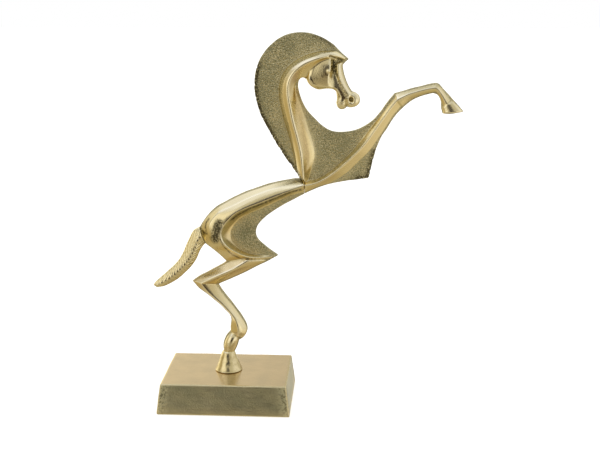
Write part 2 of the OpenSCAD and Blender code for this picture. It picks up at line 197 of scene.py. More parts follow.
SHOULDER = [
    [(48.5, 147.8, 1.2), (50, 144.2, 6), (50, 138.4, 1.2)],
    [(57.5, 148.8, 1.2), (57.5, 145.9, 6), (58, 142.3, 1.2)],
    [(66, 153.5, 1.2), (66, 150.8, 6), (67, 145.4, 1.2)],
    [(73.2, 159.8, 1.2), (73.8, 157.3, 6), (75.8, 150.6, 1.2)],
    [(79.8, 167.2, 1.2), (81, 164, 6), (84, 158.4, 1.2)],
    [(85.6, 175.4, 1.2), (87.5, 171, 5.8), (91.4, 166.2, 1.2)],
    [(92, 184.4, 1), (93, 178.8, 5.5), (97.2, 174.2, 1)],
    [(97.2, 190.2, 1), (98.6, 187, 5), (101.8, 181.4, 1)],
    [(101.4, 196.2, 1), (102.8, 193, 4.7), (105.6, 187.6, 1)],
    [(105.6, 201.6, 1), (106.6, 197.8, 4.5), (110.4, 192.9, 1)],
]
FOREARM = [
    SHOULDER[-1],
    [(113, 203.7, 1), (113.4, 201.2, 4), (115.8, 197.5, 1)],
    [(121, 205.8, 1), (121.4, 203.6, 3.6), (122.6, 200.4, 1)],
    [(127.5, 207.3, 1), (127.6, 204.9, 3.4), (128.8, 202, 1)],
    [(131.9, 207.6, 1), (130.9, 204.7, 3.4), (131, 201.4, 1)],
    [(136.8, 202.2, 1), (134.4, 200.4, 3.3), (133.2, 197.8, 1)],
    [(141.4, 196.9, 1), (137.8, 194.9, 3.2), (134.2, 192.9, 1)],
]
FORE_HOOF = [
    [(141, 197.4, 1), (137.6, 195.3, 3.3), (134.2, 193.2, 1)],
    [(144.4, 194, 1), (139.5, 192.7, 3.9), (134.7, 191.3, 1)],
    [(148, 190.4, 1), (141.2, 189.9, 4.5), (134.9, 189.3, 1)],
]
NOSE = [
    [(73.6, 220.6, 1.2), (71.9, 220.2, 4), (70.3, 219.8, 4.6), (67.4, 219.4, 1.4)],
    [(73.5, 216.8, 1.2), (72, 216, 4.2), (70.4, 215.6, 5), (67.6, 215, 1.4)],
    [(74.7, 211.6, 1.2), (73, 210.8, 4.2), (71.4, 210.4, 5), (68.2, 209.6, 2.2)],
    [(76.8, 206.3, 1.2), (75.3, 205.9, 4), (73.9, 205.4, 4.8), (70.4, 204.4, 3.6)],
    [(79, 202.3, 1.2), (78, 201.8, 4), (76.8, 201, 4.7), (72.4, 199.8, 3.7)],
    [(81.3, 200.6, 1.2), (79.6, 199.4, 4.2), (78.4, 198.6, 4.6), (74.4, 197.2, 3.7)],
]
JAW = [
    [(67.5, 214, 3), (65, 208.5, 4.2), (62, 204.3, 1.2)],
    [(71.6, 206.5, 3.7), (69.2, 205, 4), (67, 203.6, 1.2)],
    [(74, 202, 3.8), (72, 200.8, 4), (69.6, 200, 1.2)],
    [(77, 199, 3.8), (73.4, 197.4, 4), (69.6, 196, 1.2)],
    [(77, 195.5, 3.4), (74, 194.2, 3.4), (71, 192.4, 1.2)],
]
CHEEK = [
    [(58.5, 224, 3), (60.5, 223.6, 4), (65.8, 223.2, 4.6), (67.4, 222.8, 1.6)],
    [(55.2, 221, 3), (57.6, 220.2, 5), (65.8, 219.4, 6.2), (67.9, 219, 1.4)],
    [(53.4, 217.4, 3), (56, 216.8, 5.2), (65.8, 215.8, 6.6), (68.2, 215.4, 1.4)],
    [(52.2, 213.6, 2.6), (54.8, 213, 5.2), (65, 212.3, 6.4), (68.6, 211.8, 1.8)],
    [(51.2, 209.8, 2.4), (54.2, 209.4, 5), (64.6, 208.8, 5.9), (69, 208.2, 2.8)],
    [(52.8, 206.2, 2.2), (55.8, 206.5, 4.6), (64.8, 206, 5.2), (69.4, 205.4, 3.4)],
    [(56, 203.6, 1.8), (58.6, 204.6, 3.4), (65, 204.4, 3.9), (69.4, 203.8, 2.8)],
    [(59.4, 202.4, 1), (61, 203.2, 1.6), (65, 203.2, 2), (69.2, 202.8, 1.6)],
]
BACK = [
    [(54, 148, 1.2), (54, 146.8, 3.4), (54, 144.8, 6), (54, 139.4, 1.2)],
    [(50, 148, 1.2), (50, 146.6, 3.6), (50, 144.2, 6), (50, 138.2, 1.2)],
    [(41, 147.1, 1.2), (41, 144.8, 4.4), (41.4, 141, 6.8), (42, 136.6, 1.2)],
    [(31.5, 145.3, 1.2), (31.5, 142.4, 5), (32, 137.3, 7.5), (33.5, 132.6, 1.2)],
    [(22.1, 142.3, 1.2), (22.3, 139.1, 5.5), (23.2, 133.7, 8), (25, 128.4, 1.2)],
    [(12.6, 138.8, 1.2), (13, 135.2, 5.7), (14.6, 130.3, 8.3), (17, 125, 1.2)],
    [(3.4, 134.3, 1.2), (5, 131.2, 5.8), (7.5, 126.8, 8.5), (10.7, 121.8, 1.2)],
    [(-5.2, 129.2, 1.2), (-3.6, 126.6, 5.9), (2.6, 122.2, 8.6), (7, 118, 1.2)],
    [(-11, 124, 1.2), (-8.4, 121.4, 6), (-0.6, 118, 8.6), (4.8, 114.6, 1.2)],
    [(-15, 118.3, 1.2), (-10.2, 117, 6), (-2.2, 113.6, 8.5), (4.2, 111.2, 1.2)],
    [(-15.6, 113, 1.2), (-9.4, 112, 6.2), (-1.6, 109.6, 8.3), (5, 107.4, 1.2)],
    [(-13.4, 105.8, 1.2), (-5, 108, 6.6), (1, 105.8, 8), (7.2, 104.2, 1.2)],
    [(-6.4, 100.2, 1.2), (1.8, 103.6, 6.8), (5.2, 102.4, 7.4), (10.6, 101.2, 1.2)],
    [(0.8, 93.8, 1.2), (8.6, 99.6, 5.8), (11.7, 98.9, 6.2), (15.6, 99.3, 1.2)],
    [(12.5, 93, 1.2), (16, 96.8, 4.2), (17.8, 97.4, 4.2), (21, 98.6, 1.2)],
    [(23, 94.6, 1.2), (24.8, 96.4, 2.4), (25.6, 97.4, 2.4), (27, 98.9, 1.2)],
    [(31.6, 97.4, 1), (32.2, 97.8, 1.3), (32.4, 98.1, 1.3), (32.7, 98.5, 1)],
]
GASKIN = [
    [(5, 96.8, 1.2), (14.6, 96, 5.4), (27, 94.9, 1)],
    [(0.8, 93.7, 1), (8.2, 91.9, 6.4), (17.1, 89.6, 1)],
    [(-3.1, 91.3, 1), (2.6, 88.7, 6.4), (10.4, 86, 1)],
    [(-11.4, 86.5, 1), (-6.6, 84.6, 6.2), (1.8, 82, 1)],
    [(-21.9, 80.3, 1), (-16.2, 79.5, 4.6), (-5.7, 78.4, 1)],
]
HIND_CANNON = [
    GASKIN[-1],
    [(-17.7, 75.6, 1), (-13.2, 75.4, 4.6), (-3.1, 74.3, 1)],
    [(-12.4, 71.4, 1), (-8.8, 71, 4.6), (0.4, 69.5, 1)],
    [(-6.6, 66.7, 1), (-3.4, 66.2, 4.6), (4, 64.9, 1)],
    [(-1.2, 61.4, 1), (1.8, 60.6, 4.7), (8.4, 58.6, 1)],
    [(2.6, 56.4, 1), (5.4, 55.6, 4.8), (11.7, 52.9, 1.2)],
    [(2.4, 51, 1.4), (6.9, 50.8, 5), (12.9, 48.4, 1.6)],
    [(2.8, 46.6, 2), (7.4, 46.6, 4.6), (12, 45, 1.8)],
    [(4.6, 43.2, 2), (7.2, 43.4, 3.4), (9.6, 42.4, 1.6)],
]
PASTERN = [
    [(-2, 30, 0), (1, 30, 3.1), (4.2, 30, 0)],
    [(-2.4, 33, 0), (1.1, 33, 3.3), (4.5, 33, 0)],
    [(-2.6, 36.3, 0), (1.6, 36.2, 4.1), (5.9, 36, 0)],
    [(-2.1, 39.5, 0), (2.4, 39.5, 4.4), (7, 39.5, 0)],
    [(-0.4, 43.2, 0), (3.6, 42.9, 4), (7.6, 42.6, 0)],
    [(2, 46.2, 0), (4.8, 45.8, 2.4), (7.6, 45.4, 0)],
]
TAIL = [
    [(-12.5, 118, 1.6), (-11.2, 112.4, 4), (-10, 106.4, 1.6)],
    [(-16.5, 116, 1.6), (-15.2, 111, 4), (-13.3, 105.3, 1.6)],
    [(-20.4, 113.6, 1.4), (-17.8, 107.6, 4), (-14.8, 103.9, 1.4)],
    [(-24.2, 106.6, 1.2), (-19.8, 102, 3.8), (-17.1, 100.4, 1.2)],
    [(-28, 98, 1.2), (-23.6, 95.4, 3.6), (-19.9, 94.2, 1.2)],
    [(-32.6, 91.4, 1.2), (-28.8, 89, 3.3), (-24.6, 88, 1.2)],
    [(-39.4, 85, 1.1), (-36.2, 82.4, 2.9), (-32.2, 81.1, 1.1)],
    [(-45.6, 79.4, 1), (-43.4, 77.8, 2.2), (-40.2, 76.5, 1)],
    [(-47.5, 76.9, 1), (-46.8, 76.2, 1.3), (-45.7, 75.4, 1)],
]

# An outline is a list of smooth runs that meet at corners. Each run goes on to the next one's first point.
FOREHAND_OUTLINE = [
    [(46.5, 144)],
    [
        (47, 148.6), (45.9, 150.2), (42.2, 155.6), (37.8, 161.9), (32.2, 170.7), (26.7, 180.6),
        (22.4, 189.3), (19.7, 199.8), (19.3, 209.5), (21.4, 218.8), (25.8, 226.6), (32.6, 233.3),
        (39.9, 236.9), (47.8, 238), (55.1, 236.9), (61.8, 234.3),
    ],
    [(67.6, 230.6)],
    [(69.9, 228.4), (73.2, 225.2)],
    [(76.6, 222.2), (75, 220.8)],
    [(73.3, 218.9), (73.3, 216.9), (74.5, 211.6), (76.6, 206.3)],
    [(79, 202.3), (81.3, 201.4), (83.3, 199.8), (84, 197.4), (83.2, 195.1), (81.2, 193.6), (78.4, 193)],
    [(75.9, 193.5), (75, 192.4), (73, 191.8), (71, 192.7), (69.9, 195.2), (70.2, 198), (70.1, 200.5)],
    [(69.6, 202.8), (67.3, 204.3), (63.3, 204.5), (59.3, 203.9), (56, 204.9), (53, 207.2)],
    [
        (51.3, 210.1), (49, 211.2), (46.9, 210.1), (45.9, 207.5), (46, 203.5), (48, 196.9), (51.3, 190.9),
        (56.7, 184.8), (61.5, 180.6), (66.6, 177.8), (73.3, 177.1), (80.7, 178.2), (87.4, 181.1),
        (92.9, 185.2), (97.1, 190.1), (101.3, 196),
    ],
    [(105.4, 201.4), (109.7, 202.6), (114.5, 204), (120.6, 205.6), (126.6, 207.1), (130.4, 207.7)],
    [(132.4, 207)],
    [(147.3, 190.8), (142.4, 189.7), (138.5, 189.2)],
    [(135.2, 189.6), (134.2, 193.2), (133.8, 196.8), (132.9, 199.2), (131.2, 201.2)],
    [
        (128.6, 202), (122.8, 200.5), (117.9, 198.6), (113.2, 195.4), (107.5, 190), (104, 185.2),
        (100.8, 179.8), (97.4, 174.6), (94.6, 168), (92.2, 159),
    ],
    [(90, 148.9), (79.8, 147.4), (72.3, 146.2), (64.5, 144.5), (57.3, 141.9), (50.3, 138.2), (46.5, 136)],
]
HIND_OUTLINE = [
    [
        (54, 148.2), (45.9, 147.9), (40.9, 147.1), (34.5, 146), (27, 144), (22.1, 142.3), (15, 139.8),
        (8.6, 136.9), (3.4, 134.3), (-0.4, 132.2), (-5.4, 129.1), (-9.5, 125.6), (-13.5, 120.6),
        (-16.4, 115.8),
    ],
    [(-19, 110)],
    [(-17, 108.3), (-13.3, 105.6), (-8.7, 102.1), (-3.6, 97.9)],
    [(0.8, 93.7), (-3.1, 91.3), (-10.9, 86.8), (-16.8, 83.7)],
    [
        (-21.9, 80.3), (-17.7, 75.6), (-12.4, 71.4), (-6.6, 66.7), (-1.2, 61.4), (1.9, 57.8), (2.9, 54.6),
        (2.5, 50.8),
    ],
    [(2.4, 46.8), (-0.5, 43.6), (-2.1, 39.8), (-2.6, 36.3), (-2.2, 33)],
    [(-2, 30)],
    [(4.2, 30), (4.4, 32.8), (5.4, 35), (6.5, 37.8)],
    [
        (7.3, 40.8), (9.6, 42.3), (11.9, 45), (12.9, 48.4), (11.7, 52.9), (8.4, 58.6), (4, 64.9),
        (0.4, 69.5), (-3.1, 74.3),
    ],
    [(-5.7, 78.4), (1.8, 82), (10.4, 86), (17.1, 89.6), (25.4, 93.9)],
    [
        (32.9, 98.2), (24.8, 104.2), (20.1, 109), (19, 113.7), (21.1, 119), (27.2, 125), (35.5, 130.7),
        (42.8, 134.6), (50, 138.2), (54, 140.2),
    ],
]

# Creases, beads and features of the surface.
NECK_FOOT = [
    (49, 184.6), (50.6, 180), (53.2, 173.1), (54.9, 166.5), (55, 161.5), (53.9, 157.5), (52.3, 153.5),
]
NECK_RIM = [
    (46.6, 148.5), (45.2, 154.6), (43.3, 164.6), (40.7, 175), (37.8, 184.6), (35.5, 194.5), (34.6, 203),
    (35.8, 210.5), (39.9, 217.2), (46.4, 222.2), (53.4, 225.3), (61.5, 227.1),
]
CHEEK_RIM = [
    (53.2, 208.9), (53, 213.5), (54.2, 217.4), (55.6, 220), (58.2, 222), (61.6, 223.1), (65.4, 223.4),
]
JAW_RIM = [(53.6, 210.6), (55.3, 207.4), (58.4, 205.7), (63.8, 205.8), (67.4, 205.2)]
BROW_GAP = [(65.4, 224.3), (67.8, 223.3), (70.5, 222.1), (72.6, 221.2)]
MOUTH = [(76, 191.6), (75.4, 194), (75.3, 196.6)]
MUZZLE = dict(at=(79.7, 197.4), radii=(4.9, 5), base=1.2, top=4.8)
CHIN = dict(at=(72.8, 195.6), radii=(3.4, 4.2), base=1.2, top=4)
EYE = (65.2, 215.2)
NOSTRIL = (78.8, 197.8)
NOSTRIL_BAR = (76.9, 197.8)

# Lines darkened as painted shade in hollows, gaps and dark reflections, or tinted brown as a painted
# reflection
# # of warm surroundings.
NECK_HOLLOW = [(44.6, 202), (46.2, 192), (48.6, 181), (50.6, 170.5), (51.8, 162), (51.2, 154)]
CHEEK_HOLLOW = [(67.4, 221.6), (68, 218.4), (68.3, 214.5), (68.8, 210.8)]
MANE_SHADE = [(56.5, 236.2), (62.4, 233.8), (67.2, 230.4)]
RUMP_LINE = [(-10.2, 122), (-12, 119.6), (-12.6, 116.6), (-11.6, 112.4)]
FLANK_LINE = [
    (48, 141.4), (41.2, 140), (32.4, 136.4), (23.8, 132.6), (15.4, 129.2), (8.6, 125.4), (4.4, 122),
]
THIGH_LINE = [(-3, 110.6), (-0.8, 105), (4.2, 99.2), (12, 95.4)]
FLANK_BROWN = [(13, 125.4), (6.6, 121.2), (1.6, 116.4), (1, 111.4), (4, 106.4), (9, 101.6), (16, 98.4)]

# Places that kept their rough cast skin.
MANE_MARGIN = [(47.2, 147.7)] + FOREHAND_OUTLINE[1][2:10]
CHEST_CORNER = [(93.8, 165), (92, 158), (90, 148.9), (84, 148)]
JAW_CREASE = [(71.2, 209), (73.8, 203.6), (76.2, 199)]
RUMP_PATCH = [(-3.4, 120), (-5, 115.2), (-6.4, 109.4)]


# ---------------------------------------------------------------- curves and reliefs

def smooth(points, steps):
    """The points, or stations, with that many steps of a smooth curve between each two."""
    p = np.asarray(points, float)
    ends = np.concatenate([p[:1], p, p[-1:]])
    t = (np.arange(steps) / steps).reshape(-1, *[1] * (p.ndim - 1))
    runs = [
        0.5 * (2 * b + (c - a) * t + (2 * a - 5 * b + 4 * c - d) * t**2 + (3 * b - a - 3 * c + d) * t**3)
        for a, b, c, d in zip(ends, ends[1:], ends[2:], ends[3:])
    ]
    return np.concatenate(runs + [p[-1:]])


def outline_points(runs, steps=8):
    """A closed outline from its smooth runs."""
    following = [run[:1] for run in runs[1:]] + [[]]
    return np.concatenate([smooth(run + corner, steps)[:-1] for run, corner in zip(runs, following)])


def ridge(stations):
    """The line along a limb's keel, the highest point of each station."""
    return [max(station, key=lambda point: point[2])[:2] for station in stations]


def limb_outline(stations, steps=8):
    """The outline that a limb's two edges make."""
    rings = smooth(stations, steps)
    return np.concatenate([rings[:, 0, :2], rings[::-1, -1, :2]])


def soft_max(a, b, blend):
    """The greater of two heights, with a fillet about as wide as blend where they cross."""
    mix = np.clip(0.5 + 0.5 * (a - b) / blend, 0, 1)
    return b + (a - b) * mix + blend * mix * (1 - mix)


def ease(value, low, high):
    """0 under low, 1 over high, and smooth between."""
    t = np.clip((value - low) / (high - low), 0, 1)
    return t * t * (3 - 2 * t)


FACETS = {
    "flat": lambda t: t,
    "swell": lambda t: np.sin(t * math.pi / 2),
    "bow": lambda t: 0.35 * t + 0.65 * np.sin(t * math.pi / 2),
    "hollow": lambda t: t**1.7,
    "round": lambda t: np.sqrt(1 - (1 - t) ** 2),
}
SKIRT_OUT, SKIRT_BELOW = 2.0, -2.4


def across(rings, facets, fine=8):
    """Each ring's points, the facets' shapes between them, and a skirt that falls away past each edge."""
    columns = []
    for j, facet in enumerate(facets):
        a, b = rings[:, j], rings[:, j + 1]
        for t in np.linspace(0, 1, fine + 1)[: None if j == len(facets) - 1 else -1]:
            rising = b[:, 2] >= a[:, 2]
            share = np.where(rising, FACETS[facet](t), 1 - FACETS[facet](1 - t))
            point = a + (b - a) * t
            point[:, 2] = a[:, 2] + (b[:, 2] - a[:, 2]) * share
            columns.append(point)
    skirts = []
    for edge, inner in ((rings[:, 0], rings[:, 1]), (rings[:, -1], rings[:, -2])):
        out = edge - inner
        out = out / np.linalg.norm(out[:, :2], axis=1)[:, None] * SKIRT_OUT
        out[:, 2] = SKIRT_BELOW
        skirts.append(edge + out)
    return np.stack([skirts[0]] + columns + [skirts[1]], axis=1)


class Relief:
    """A solid with two like faces: its half thickness over X and Z, and how deep in its outline it is."""

    def __init__(self, outline, step=FINE):
        self.step = step
        self.low = outline.min(0) - MARGIN
        high = outline.max(0) + MARGIN
        self.x = np.arange(self.low[0], high[0], step)
        self.z = np.arange(self.low[1], high[1], step)
        self.gx, self.gz = np.meshgrid(self.x, self.z, indexing="ij")
        self.half = np.full(self.gx.shape, BARE)
        self.polish, self.pitting, self.darkening, self.brown = np.zeros((4, *self.gx.shape))
        closed = np.concatenate([outline, outline[:1]])
        self.true_depth = self.distance(closed, 4.0) * np.where(self.within(outline), 1, -1)
        self.depth = self.true_depth + GROWTH

    def window(self, low, high):
        """The part of the grid that covers a box."""
        i0, j0 = np.maximum(((low - self.low) / self.step).astype(int), 0)
        i1, j1 = np.maximum(((high - self.low) / self.step).astype(int) + 2, 0)
        return slice(i0, i1), slice(j0, j1)

    def distance(self, line, reach):
        """How far each place is from a line of points, up to reach."""
        line = np.asarray(line, float)
        best = np.full(self.gx.shape, reach**2)
        for a, b in zip(line, line[1:]):
            w = self.window(np.minimum(a, b) - reach, np.maximum(a, b) + reach)
            dx, dz = self.gx[w] - a[0], self.gz[w] - a[1]
            run = b - a
            t = np.clip((dx * run[0] + dz * run[1]) / max(run @ run, 1e-9), 0, 1)
            best[w] = np.minimum(best[w], (dx - t * run[0]) ** 2 + (dz - t * run[1]) ** 2)
        return np.sqrt(best)

    def near(self, line, width, reach=3.0):
        """1 on a line, and next to nothing from two widths away."""
        return np.exp(-((self.distance(line, reach * width) / width) ** 2))

    def within(self, outline):
        """Which places are inside a closed outline."""
        inside = np.zeros(self.gx.shape, bool)
        for a, b in zip(outline, np.roll(outline, -1, axis=0)):
            rows = np.nonzero((a[1] > self.z) != (b[1] > self.z))[0]
            cross = a[0] + (self.z[rows] - a[1]) / (b[1] - a[1] + 1e-12) * (b[0] - a[0])
            inside[:, rows] ^= self.x[:, None] < cross[None, :]
        return inside

    def paint(self, heights, corners):
        """Raises heights to one flat triangle, given as three [x, z, height] corners."""
        w = self.window(corners[:, :2].min(0), corners[:, :2].max(0))
        (ax, az, ah), (bx, bz, bh), (cx, cz, ch) = corners
        area = (bx - ax) * (cz - az) - (cx - ax) * (bz - az)
        if abs(area) < 1e-9:
            return
        px, pz = self.gx[w], self.gz[w]
        u = ((bx - px) * (cz - pz) - (cx - px) * (bz - pz)) / area
        v = ((cx - px) * (az - pz) - (ax - px) * (cz - pz)) / area
        s = 1 - u - v
        level = np.where((u >= -1e-6) & (v >= -1e-6) & (s >= -1e-6), u * ah + v * bh + s * ch, FAR_BELOW)
        heights[w] = np.maximum(heights[w], level)

    def limb(self, stations, facets, steps=6):
        """The heights of a limb over the grid."""
        rings = across(smooth(stations, steps), facets)
        heights = np.full(self.gx.shape, FAR_BELOW)
        for near, far in zip(rings, rings[1:]):
            for j in range(len(near) - 1):
                self.paint(heights, np.array([near[j], near[j + 1], far[j]]))
                self.paint(heights, np.array([near[j + 1], far[j + 1], far[j]]))
        return heights

    def dome(self, at, radii, base, top):
        """The heights of an oval dome, which falls away steeply past its rim."""
        r2 = ((self.gx - at[0]) / radii[0]) ** 2 + ((self.gz - at[1]) / radii[1]) ** 2
        crown = base + (top - base) * np.sqrt(np.maximum(1 - r2, 0))
        return np.where(r2 < 1, crown, base - 6 * (np.sqrt(r2) - 1))

    def add(self, heights, blend, polish=1.0):
        """Blends a limb into the relief, and polishes it where it stands out."""
        self.polish = np.maximum(self.polish, polish * ease(heights - self.half, 0.0, 0.7))
        self.half = soft_max(self.half, heights, blend)

    def add_limb(self, stations, facets, blend, polish=1.0):
        self.add(self.limb(stations, facets), blend, polish)

    def groove(self, line, width, depth):
        """Cuts a groove along a line, or raises a bead where depth is negative."""
        self.half = self.half - depth * self.near(line, width)

    def bead(self, line, width, height):
        """Raises a bright rubbed bead along a smooth line."""
        line = smooth(line, 6)
        self.groove(line, width, -height)
        self.polish = np.maximum(self.polish, self.near(line, 1.2 * width, 2.5))

    def press(self, at, radii, turn, depth):
        """Presses an oval dent in, or raises a bump where depth is negative."""
        c, s = math.cos(math.radians(turn)), math.sin(math.radians(turn))
        dx, dz = self.gx - at[0], self.gz - at[1]
        r2 = ((dx * c + dz * s) / radii[0]) ** 2 + ((dz * c - dx * s) / radii[1]) ** 2
        self.half = self.half - depth * np.exp(-r2)

    def blurred(self, grid, radius):
        """A grid with every crease rounded to about this radius, in mm."""
        sigma = radius / self.step
        reach = int(3 * sigma) + 1
        kernel = np.exp(-0.5 * (np.arange(-reach, reach + 1) / sigma) ** 2)
        kernel /= kernel.sum()
        padded = np.pad(grid, reach, mode="edge")
        padded = sum(k * padded[i : i + grid.shape[0]] for i, k in enumerate(kernel))
        return sum(k * padded[:, i : i + grid.shape[1]] for i, k in enumerate(kernel))

    def soften(self, radius):
        self.half = self.blurred(self.half, radius)

    def pebbles(self, size):
        """Even random bumps of about this size, from about -2 to 2."""
        bumps = self.blurred(RANDOM.normal(size=self.half.shape), size / 2.5)
        return bumps / bumps.std()

    def leave_rough(self, line, width, amount=1.0):
        """Leaves the cast skin pitted within this distance of a line."""
        away = self.distance(line, 2 * width)
        self.pitting = np.maximum(self.pitting, amount * (1 - ease(away, 0.3 * width, 1.1 * width)))

    def darken(self, line, width, amount):
        """Darkens the colour along a line: painted shade in hollows, gaps and dark reflections, and dirt in
        the rough rump patch.
        """
        self.darkening = np.maximum(self.darkening, amount * self.near(line, width))

    def tan(self, line, width, amount):
        """Paints a brown reflection of warm surroundings along a line."""
        self.brown = np.maximum(self.brown, amount * self.near(line, width, 2.5))

    def weather(self, grain=0.045, wave=0.06):
        """Cast grain on the raw plates, slight filed waves everywhere, and nicks in the rough places."""
        self.polish = self.polish * (1 - self.pitting)
        raw = 1 - self.polish
        fine = self.pebbles(0.9)
        self.half = self.half + raw * grain * fine + wave * self.pebbles(6.0) * (0.4 + 0.6 * raw)
        self.half = np.maximum(self.half - 0.16 * self.pitting * ease(fine, 0.6, 1.8), THINNEST)
        self.depth = self.depth + 0.06 * self.pebbles(5.0)
        self.depth = self.depth - 0.35 * self.pitting * ease(self.pebbles(1.3), 0.2, 1.6)

    def true_up(self, line):
        """Brings the outline back to its true line near a seam, so that two castings meet."""
        share = ease(self.distance(line, 8.0), 1.0, 7.0)
        self.depth = self.true_depth + (self.depth - self.true_depth) * share

    def looks(self):
        """What the casting's material reads, each as a grid.

        The wear and highlight layer is over 0 on ridges, which hands polish and the material paints with a
        highlight, and under 0 in creases, which keep their dirt. The unbuffed shade layer is 1 on plates far
        from any polished limb, and less where the buffing wheel reached: an unbuffed tone, and also painted
        shade that darkens towards the plates' edges. Darkening is painted shade along hollows, gaps and dark
        reflections, with dirt in the rough rump patch, and brown is a painted reflection of warm
        surroundings.
        """
        wear_and_highlight = np.clip((self.half - self.blurred(self.half, 0.8)) / 0.25, -1, 1)
        # An unbuffed tone and painted shade: 1 far from the polished limbs.
        unbuffed_shade = 1 - np.clip(1.6 * self.blurred(np.minimum(2 * self.polish, 1), 4.0), 0, 1)
        return dict(polish=self.polish, wear_and_highlight=wear_and_highlight, pitting=self.pitting, darkening=self.darkening,
                    brown=self.brown, unbuffed_shade=unbuffed_shade)


def sample(relief, grid, x, z):
    """A grid's values at any places, by bilinear interpolation."""
    u = np.clip((x - relief.low[0]) / relief.step, 0, grid.shape[0] - 1.001)
    v = np.clip((z - relief.low[1]) / relief.step, 0, grid.shape[1] - 1.001)
    i, j = u.astype(int), v.astype(int)
    u, v = u - i, v - j
    near = grid[i, j] * (1 - v) + grid[i, j + 1] * v
    far = grid[i + 1, j] * (1 - v) + grid[i + 1, j + 1] * v
    return near * (1 - u) + far * u


# ---------------------------------------------------------------- from relief to mesh

def plate_field(half, depth, y, radius=EDGE_ROUND):
    """Under 0 inside a plate of that half thickness, with rounded edges."""
    edge = radius - depth
    face = np.abs(y) - half + radius
    outside = np.hypot(np.maximum(edge, 0), np.maximum(face, 0))
    return np.minimum(np.maximum(edge, face), 0) + outside - radius


def wrap(values, low, step):
    """Points and four-sided faces of the surface where values change sign (surface nets)."""
    inside = values < 0
    n = np.array(values.shape) - 1
    corners = [
        inside[i : i + n[0], j : j + n[1], k : k + n[2]].astype(np.int8)
        for i in (0, 1) for j in (0, 1) for k in (0, 1)
    ]
    count = sum(corners)
    active = (count > 0) & (count < 8)
    number = np.full(active.shape, -1)
    number[active] = np.arange(active.sum())
    cells = np.argwhere(active)
    total = np.zeros((len(cells), 3))
    hits = np.zeros(len(cells))
    faces = []
    for axis in range(3):
        p, q = [a for a in range(3) if a != axis]
        for dp in (0, 1):
            for dq in (0, 1):
                start = cells.copy()
                start[:, p] += dp
                start[:, q] += dq
                end = start.copy()
                end[:, axis] += 1
                a, b = values[tuple(start.T)], values[tuple(end.T)]
                crosses = (a < 0) != (b < 0)
                point = start.astype(float)
                point[:, axis] += np.where(crosses, a / np.where(crosses, a - b, 1), 0)
                total += point * crosses[:, None]
                hits += crosses

        first = inside.take(range(n[axis]), axis)
        second = inside.take(range(1, n[axis] + 1), axis)
        edges = np.argwhere(first != second)
        edges = edges[(edges[:, p] > 0) & (edges[:, q] > 0) & (edges[:, p] < n[p]) & (edges[:, q] < n[q])]
        ring = []
        for dp, dq in ((-1, -1), (0, -1), (0, 0), (-1, 0)):
            cell = edges.copy()
            cell[:, p] += dp
            cell[:, q] += dq
            ring.append(number[tuple(cell.T)])
        quad = np.stack(ring, axis=1)
        keeps_order = first[tuple(edges.T)] == (axis != 1)
        quad[~keeps_order] = quad[~keeps_order][:, ::-1]
        faces.append(quad)
    return np.asarray(low) + step * total / hits[:, None], np.concatenate(faces)


def settled(values, low, step, level):
    """The surface where values change sign, drawn on to level's true zero and evened out."""
    points, faces = wrap(values, low, step)
    size = len(points)

    def settle(p, rounds):
        for _ in range(rounds):
            slope = np.stack([level(p + d) - level(p - d) for d in 0.08 * np.eye(3)], axis=1) / 0.16
            move = (level(p) / np.maximum((slope**2).sum(1), 0.2))[:, None] * slope
            p = p - np.clip(move, -0.5 * step, 0.5 * step)
        return p

    pairs = np.concatenate([faces[:, [0, 1]], faces[:, [1, 2]], faces[:, [2, 3]], faces[:, [3, 0]]])
    one, other = pairs.T
    degree = np.bincount(pairs.ravel(), minlength=size)
    points = settle(points, 3)
    for _ in range(2):
        sums = [np.bincount(one, c[other], size) + np.bincount(other, c[one], size) for c in points.T]
        points = settle(points + 0.5 * (np.stack(sums, axis=1) / degree[:, None] - points), 2)
    return points, faces.tolist()


def skin(relief, seam, step):
    """The mesh round a relief, cut off where seam(x, z) is over 0."""
    reach = relief.half.max() + 2 * step
    y = np.arange(-reach - 0.37 * step, reach + step, step)
    across_x = np.arange(relief.x[0], relief.x[-1], step)
    across_z = np.arange(relief.z[0], relief.z[-1], step)
    gx, gz = np.meshgrid(across_x, across_z, indexing="ij")
    half, depth = (sample(relief, grid, gx, gz) for grid in (relief.half, relief.depth))
    values = plate_field(half[:, None], depth[:, None], y[None, :, None])
    values = np.maximum(values, seam(gx, gz)[:, None])

    def level(p):
        x, y, z = p.T
        h, d = (sample(relief, grid, x, z) for grid in (relief.half, relief.depth))
        return np.maximum(plate_field(h, d, y), seam(x, z))

    return settled(values, (across_x[0], y[0], across_z[0]), step, level)


def bands(rings, around, closed):
    """Four-sided faces between rings that each have that many points. A closed set joins last to first."""
    k = np.arange(around)
    after = (k + 1) % around
    starts = [(i * around, (i + 1) % rings * around) for i in range(rings if closed else rings - 1)]
    return [face for i, j in starts for face in np.stack([i + k, i + after, j + after, j + k], 1).tolist()]


def node_box(name):
    """A CAD node's lowest and highest corners, in mm."""
    low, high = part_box(name)
    return np.array(low) / MM, np.array(high) / MM


def pin_in(name):
    """The middle's X and the hole's radius for a round CAD node that stands upright, in mm."""
    low, high = node_box(name)
    return (low[0] + high[0]) / 2, (high[0] - low[0]) / 2 + CLEARANCE


def mesh_object(name, points, faces, flat=0):
    """A smooth-shaded object. Its last faces, that many, are flat."""
    mesh = bpy.data.meshes.new(name)
    mesh.from_pydata(points.tolist(), [], faces)
    mesh.polygons.foreach_set("use_smooth", np.arange(len(faces)) < len(faces) - flat)
    mesh.update()
    piece = bpy.data.objects.new(name, mesh)
    bpy.context.collection.objects.link(piece)
    return piece


